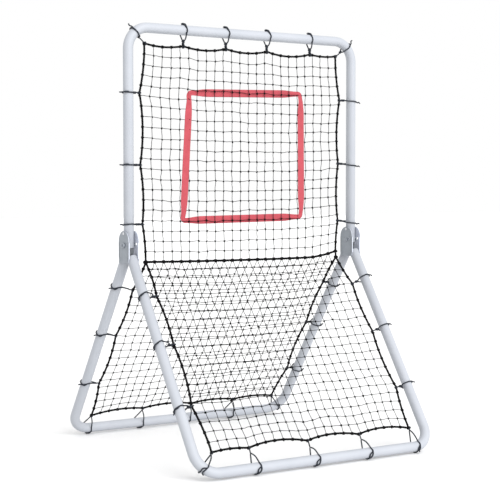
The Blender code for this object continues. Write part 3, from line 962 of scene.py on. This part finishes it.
def border_rope(part, grid):
    """The rope round three sides of a net, with the strings hitched to it."""
    left, bar, right = borders(part)
    path = left[:-1] + bar[:-1] + right[::-1]
    path = smooth_path([part.at(*p) for p in resample(path, ROPE_SPOTS)], ROPE_STEP)
    shape = Shape()
    laid_rope(shape, path, ROPE, ROPE_LAY)
    chance = random.Random(part.name + "rope")
    rim = [(grid[0][j], grid[0][j + 1] - grid[0][j]) for j in range(1, ROWS)]
    rim += [(grid[-1][j], grid[-1][j + 1] - grid[-1][j]) for j in range(1, ROWS)]
    rim += [(grid[i][-1], grid[i + 1][-1] - grid[i][-1]) for i in range(1, COLUMNS)]
    for centre, axis in rim:
        coil(shape, centre, axis, ROPE + HITCH_GAP, HITCH_WIRE, 2.3, 2.5 * MM,
             chance.uniform(0, TAU))
    for corner in (grid[0][-1], grid[-1][-1]):
        coil(shape, corner, X + part.along * 0.2, ROPE + 0.9 * MM, 1.3 * MM, 3, 3 * MM)
    obj = shape.build(f"{part.name}_rim_rope", ROPE_FIBRE)
    bending(obj, part, "black_cord", f"{part.name}_border_rope")


def hinge_rope(grid):
    """The thick rope that the three nets share, with a hitch at each string."""
    line = hinge_line()
    shape = Shape()
    laid_rope(shape, line, HINGE_ROPE, HINGE_ROPE_LAY)
    chance = random.Random("hinge")
    for i in range(1, COLUMNS):
        coil(shape, grid[i][0], X, HINGE_ROPE + HITCH_GAP, HITCH_WIRE, 3.2, 2.6 * MM,
             chance.uniform(0, TAU))
    laid_rope(shape, resample([line[-1], LOW_RIGHT], ROPE_STEP), ROPE, ROPE_LAY)
    for centre, size in ((line[0], 6.5), (line[-1], 5.2), (LOW_RIGHT, 5.5)):
        for turn in (0.0, 1.3):
            overhand(shape, centre, X + Vector((0, turn, 0.4)), size * MM, 2.6 * MM, turn,
                     **BIG_KNOT)
    obj = shape.build("shared_hinge_rope", ROPE_FIBRE)
    finished(obj, "hinge_brackets", "black_cord", "hinge_rope")


# ---- ties ----------------------------------------------------------------------------
# All in mm. knot is how far the knot is from the rope and knots how many are stacked on
# it; front, far and back are how far the loop has moved along the tube where it crosses
# the tube's front, far side and back; ring is the play of the hitch round the rope; tail
# is (towards the net, along the tube, towards the camera) from the tube's axis.
STYLES = {
    "upper_bar": dict(knot=15, knots=2, front=6, far=3, back=-3, ring=3.4,
                      tail=((-17, 5, 8), (-20, 2, 5), (-21, -4, 3), (-19, -9, 2))),
    "upper_left": dict(knot=20, knots=2, front=0, far=1, back=-2, ring=2.4,
                       tail=((-14, 0, 14), (-22, 0, 9), (-28, 0, 6), (-34, 0, 5))),
    "upper_right": dict(knot=14, knots=2, front=-3, far=-5, back=2, ring=2.4,
                        tail=((-14, -5, 14), (-22, -7, 9), (-28, -5, 6), (-36, -8, 5))),
    "front_left": dict(knot=12, knots=2, front=6, far=0, back=-4, ring=4.2,
                       tail=((-17, 0, 10), (-20, -5, 2), (-18, -10, -4), (-20, -13, -8))),
    "front_right": dict(knot=22, knots=2, front=1, far=3, back=-3, ring=2.4,
                        tail=((-14, 2, 14), (-21, 4, 9), (-27, 4, 6), (-31, 2, 5))),
    "front_bar": dict(knot=20, knots=0, front=9, far=-4, back=-2, ring=1.5,
                      tail=((-12, 8, 14), (-18, 4, 7), (-19, -2, 2), (-17, -8, -6))),
    "rear_left": dict(knot=10, knots=0, front=4, far=-5, back=-6, ring=1.5,
                      tail=((-15, -3, 12), (-21, -6, 6), (-22, -11, 0), (-25, -15, -2))),
    "rear_right": dict(knot=18, knots=2, front=-3, far=-6, back=3, ring=2.0,
                       tail=((-14, -6, 14), (-22, -8, 8), (-26, -5, 5), (-31, -8, 4))),
    "rear_bar": dict(knot=12, knots=0, front=5, far=-6, back=-14, ring=1.5,
                     tail=((-12, 2, 14), (-18, -2, 7), (-20, -7, 2), (-19, -12, -3))),
    "upper_corner": dict(knot=28, knots=1, front=2, far=0, back=-2, ring=3.0,
                         tail=((-14, 0, 14), (-22, 1, 8), (-28, -2, 5), (-35, 0, 4))),
    "front_corner": dict(knot=8, knots=0, front=6, far=-3, back=-5, ring=2.0,
                         tail=((-12, 4, 14), (-18, 2, 7), (-20, 4, 2), (-18, 9, -3))),
    "rear_corner": dict(knot=4, knots=0, front=3, far=-5, back=-14, ring=2.0,
                        tail=((-12, 0, 14), (-18, -3, 7), (-20, -6, 2), (-18, -10, -3))),
}


def tie(part, node, on_net, on_tube, run, style):
    """One cord: a hitch on the rope, a stacked knot, a loop round the tube and a tail.
    on_net and on_tube are (across, along) in the frame, and run is the tube's way."""
    form = STYLES[style]
    chance = random.Random(node)
    rope = part.at(*on_net)
    tube = part.at(*on_tube)
    tube_run = (X * run[0] + part.along * run[1]).normalized()
    if tube_run.dot(X) + tube_run.z < 0:
        tube_run = -tube_run
    toward = rope - tube
    slant = toward.dot(tube_run)
    toward -= tube_run * slant
    reach = toward.length
    toward.normalize()

    def at(s, t, o):
        return tube + toward * s + tube_run * t + part.seen * o

    def wrapped(angle, t):
        return at(WRAP * math.cos(angle), t, WRAP * math.sin(angle))

    near = min(form["knot"] * MM * chance.uniform(0.85, 1.15), reach - WRAP)
    k = reach - near
    kt = slant * k / reach  # the knot's place along the tube
    knot = at(k, kt, 0)
    lean = math.acos(min(1, WRAP / max(k, WRAP)))
    front, far, back = [(form[key] + chance.uniform(-1.5, 1.5)) * MM
                        for key in ("front", "far", "back")]
    strand = [knot + part.seen * 1.5 * MM,
              at((k + WRAP) / 2, front * 0.55 + kt * 0.5, WRAP * 0.55),
              wrapped(math.radians(55), front * 0.85 + kt * 0.1),
              wrapped(math.radians(90), front)]
    for s, t, o in form["tail"]:
        strand.append(at(s * MM, (t + chance.uniform(-0.7, 0.7)) * MM, o * MM))
    hidden = [knot - part.seen * 1.5 * MM,
              wrapped(-lean - 0.15, back * 0.9 + kt * 0.4)]
    for degrees in (-95, -130, -165, -200, -232):
        share = (abs(degrees) - 95) / (232 - 95)
        hidden.append(wrapped(math.radians(degrees), back * (1 - share) + far * share))
    hidden.append(wrapped(math.radians(-258), front))
    shape = Shape()
    for points in (strand, hidden):
        line = smooth_path(points, CORD_STEP)
        for p in line:
            p.z = max(p.z, LOWEST_CORD)
        shape.tube(line, CORD, CORD_SIDES)
    stem = [rope + part.seen * 2 * MM, knot + (rope - knot) * 0.45 + tube_run * 0.8 * MM,
            knot - part.seen * 1 * MM]
    shape.tube(smooth_path(stem, CORD_STEP), THIN_CORD, CORD_SIDES)
    step = (rope - knot).normalized()
    for number in range(form["knots"]):
        overhand(shape, knot + step * (number - 0.2) * 5.4 * MM, step + part.seen * 0.2,
                 4.8 * MM, THIN_CORD, 0.4 + 1.3 * number + chance.uniform(-0.3, 0.3),
                 **BIG_KNOT)
    side = (rope - tube).normalized().cross(part.seen)
    coil(shape, rope, side, form["ring"] * MM + ROPE * 0.7, CORD * 0.85, 1.4, 4 * MM,
         chance.uniform(0, 1), 7)
    obj = shape.build(node.replace("_tie_", "_lashing_"), TIE_FIBRE)
    finished(obj, part.body, "black_cord", node)


def ties(part):
    """Three ties on each side, one at each corner and the rest on the bar."""
    net_sizes = part.net
    for side, sign in SIDES:
        for number, (a, d, tube_d) in enumerate(net_sizes[side], start=1):
            tie(part, f"{part.name}_tie_{side}_{number}", (sign * a * MM, d * MM),
                (sign * FRAME_HALF_WIDTH, tube_d * MM), (0, 1), f"{part.name}_{side}")
        a, d, degrees = net_sizes["corners"][side]
        turn = math.radians(degrees)
        on_bend = (sign * (FRAME_HALF_WIDTH - BEND_RADIUS * (1 - math.cos(turn))),
                   part.bar - BEND_RADIUS * (1 - math.sin(turn)))
        tie(part, f"{part.name}_tie_{side}_corner", (sign * a * MM, d * MM), on_bend,
            (sign * math.sin(turn), -math.cos(turn)), f"{part.name}_corner")
    for number, (a, tube_a) in enumerate(net_sizes["bar"], start=1):
        tie(part, f"{part.name}_tie_bar_{number}", (a * MM, net_sizes["bar_along"]),
            (tube_a * MM, part.bar), (1, 0), f"{part.name}_bar")


# ---- strike zone ---------------------------------------------------------------------
RIBBON_WIDTH = 25 * MM
RIBBON_CORNERS = ((-237, 74.5), (220, 81.5), (217, 493), (-213, 481))
RIBBON_THICKNESS = 0.5 * MM
RIBBON_BEND = 11 * MM
RIBBON_BEND_STEPS = 7
RIBBON_RUN_STEPS = 56
RIBBON_STRIPS = 8
# At a corner it is pinched to this share of its width, over this length.
RIBBON_PINCH = 0.66
RIBBON_PINCH_REACH = 60 * MM
# It stands this far off the net, from this distance to a corner.
RIBBON_OFF_NET = 3.6 * MM
RIBBON_CROSSING = 16 * MM


def ribbon_line(corners):
    """The ribbon's middle as (point, distance to a corner, whether it runs across)."""
    line = []
    for k in range(4):
        a = corners[k]
        b = corners[(k + 1) % 4]
        across = k % 2 == 0
        way = (b - a).normalized()
        turn = (a - corners[k - 1]).normalized()
        for j in range(RIBBON_BEND_STEPS):
            bend = j / RIBBON_BEND_STEPS
            p = a - turn * RIBBON_BEND * (1 - bend) ** 2 + way * RIBBON_BEND * bend ** 2
            line.append((p, 0.0, across))
        first = a + way * RIBBON_BEND
        last = b - way * RIBBON_BEND
        length = (last - first).length
        for j in range(RIBBON_RUN_STEPS):
            t = j / RIBBON_RUN_STEPS
            line.append((first.lerp(last, t), length * min(t, 1 - t), across))
    return line


def strike_zone():
    """One closed ribbon, in front of the strings at the sides and behind them across."""
    corners = [Vector((x * MM, z * MM, 0)) for x, z in RIBBON_CORNERS]
    line = ribbon_line(corners)
    rings = []
    for n, (p, away, across) in enumerate(line):
        tangent = (line[(n + 1) % len(line)][0] - line[n - 1][0]).normalized()
        normal = Vector((tangent.y, -tangent.x, 0))
        ease = min(1, away / RIBBON_PINCH_REACH)
        ease = ease * ease * (3 - 2 * ease)
        width = RIBBON_WIDTH * (RIBBON_PINCH + (1 - RIBBON_PINCH) * ease)
        depth = RIBBON_OFF_NET * min(1, away / RIBBON_CROSSING) * (-1 if across else 1)
        ring = []
        for k in range(RIBBON_STRIPS + 1):
            w = k / RIBBON_STRIPS - 0.5
            fold = math.sin(w * 11 + 0.4) * 0.9 * MM * (1 - ease)
            wave = noise.noise(Vector((p.x * 22, p.y * 22, w * 1.5))) * 0.8 * MM * ease
            ring.append((p + normal * (w * width), depth + fold + wave))
        rings.append([UPPER.at(q.x, q.y, o + RIBBON_THICKNESS / 2) for q, o in ring]
                     + [UPPER.at(q.x, q.y, o - RIBBON_THICKNESS / 2)
                        for q, o in reversed(ring)])
    shape = Shape()
    shape.rings(rings, closed=True)
    obj = shape.build("zone_ribbon", RIBBON)
    finished(obj, "upper_frame", "red_ribbon", "strike_zone_ribbon")


# ---- assembly ------------------------------------------------------------------------
frame_tube(UPPER, -TUBE_END_BELOW_CLAMP)
frame_tube(FRONT, -LEG_END_PAST_RIVET)
frame_tube(REAR, -LEG_END_PAST_RIVET)
hinge_sides()
GRIDS = {part.name: knot_grid(part) for part in FRAMES}
for part in FRAMES:
    net(part, GRIDS[part.name])
    border_rope(part, GRIDS[part.name])
    ties(part)
hinge_rope(GRIDS["upper"])
strike_zone()


# ---- stage ---------------------------------------------------------------------------
def floor():
    """Half a millimetre below the object, so that the two never share a plane."""
    shape = Shape()
    far = 30.0
    shape.verts = [Vector((x, y, -0.5 * MM)) for x, y in ((-far, -far), (far, -far),
                                                          (far, far), (-far, far))]
    shape.faces = [(0, 1, 2, 3)]
    made = Finish("white_floor", 0.9)
    made.colour(made.noise(2), (0.83, 0.83, 0.83), (0.85, 0.85, 0.85))
    shape.build("floor", made.mat, smooth=False)


def sun():
    """A wide, soft light from in front and above."""
    data = bpy.data.lights.new("sun", "SUN")
    data.energy = 2.9
    data.angle = math.radians(50)
    obj = bpy.data.objects.new("sun", data)
    obj.rotation_euler = Vector((-0.08, 0.879, -0.47)).to_track_quat("-Z", "Y").to_euler()
    bpy.context.scene.collection.objects.link(obj)


def sky():
    world = bpy.data.worlds.new("studio")
    world.use_nodes = True
    world.node_tree.nodes["Background"].inputs["Color"].default_value = (1, 1, 1, 1)
    world.node_tree.nodes["Background"].inputs["Strength"].default_value = 1.0
    bpy.context.scene.world = world


def camera():
    data = bpy.data.cameras.new("camera")
    data.sensor_width = 36
    data.lens = 95.67
    data.clip_end = 200
    obj = bpy.data.objects.new("camera", data)
    obj.location = (-2.3418, -3.6813, 0.8434)
    obj.rotation_euler = [math.radians(a) for a in (87.329, 0, -32.658)]
    bpy.context.scene.collection.objects.link(obj)
    bpy.context.scene.camera = obj


floor()
sun()
sky()
camera()
bpy.context.scene.view_settings.view_transform = "Standard"
